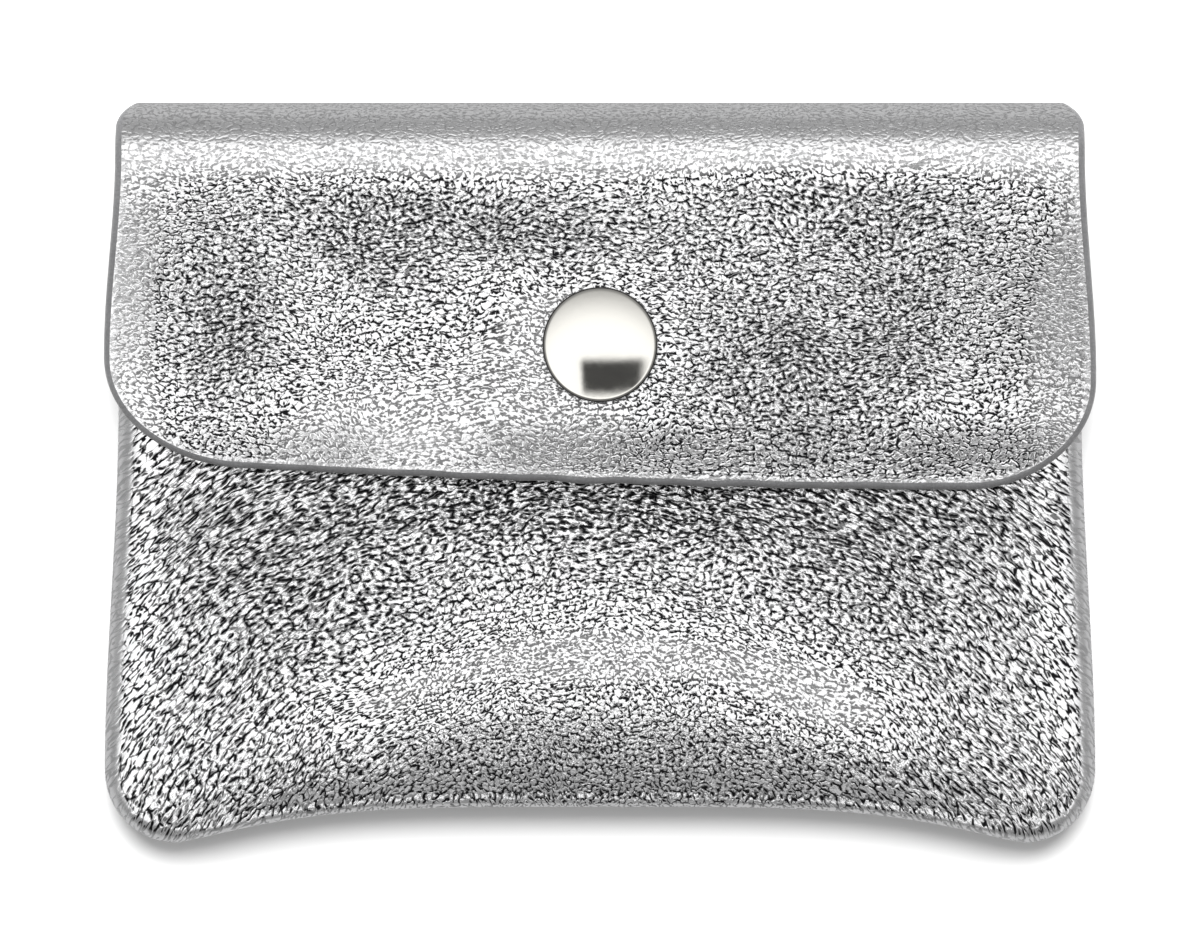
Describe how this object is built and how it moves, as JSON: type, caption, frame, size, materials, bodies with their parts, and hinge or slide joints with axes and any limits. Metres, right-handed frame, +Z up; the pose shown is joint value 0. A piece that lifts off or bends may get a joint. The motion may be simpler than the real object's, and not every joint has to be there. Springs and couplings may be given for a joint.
{
  "type": "mini wallet",
  "caption": "Small turned leather pouch wallet with a rounded flap that folds over from the back and closes on a domed press stud.",
  "frame": {"origin": "on the surface that the closed wallet lies on, under the middle of its box", "axes": "+X across the wallet, +Y from the bottom of the pouch to the fold of the flap, +Z up out of the front"},
  "size_m": [0.1087, 0.0811, 0.0164],
  "materials": {
    "silver_leather": "silver foil on crinkled grain, raw suede on the inside",
    "sewing_thread": "grey polyester thread",
    "polished_nickel": "polished nickel plate, slightly warm",
    "satin_nickel": "nickel plate, less polished",
    "spring_wire": "drawn spring wire"
  },
  "bodies": {
    "pouch": {"back_panel": "silver_leather", "front_panel": "silver_leather", "seam_needle_thread": "sewing_thread", "seam_bobbin_thread": "sewing_thread", "stud": "satin_nickel", "stud_post": "satin_nickel"},
    "lower_fold": {"fold_lower": "silver_leather"},
    "upper_fold": {"fold_upper": "silver_leather"},
    "flap": {"flap_panel": "silver_leather", "cap_shell": "polished_nickel", "cap_post": "satin_nickel", "socket_body": "satin_nickel", "socket_spring": "spring_wire"}
  },
  "joints": [
    {"name": "lower_fold_bend", "type": "hinge", "parent": "pouch", "child": "lower_fold", "pos_m": [0, 0.03755, 0.0008], "axis": [-1, 0, 0], "range_deg": [0, 56]},
    {"name": "middle_fold_bend", "type": "hinge", "parent": "lower_fold", "child": "upper_fold", "pos_m": [0, 0.04055, 0.006], "axis": [-1, 0, 0], "range_deg": [0, 56]},
    {"name": "flap_opening", "type": "hinge", "parent": "upper_fold", "child": "flap", "pos_m": [0, 0.03755, 0.0112], "axis": [-1, 0, 0], "range_deg": [0, 56]}
  ],
  "couplings": [
    {"joint": "lower_fold_bend", "follows": "flap_opening", "ratio": 1},
    {"joint": "middle_fold_bend", "follows": "flap_opening", "ratio": 1}
  ]
}
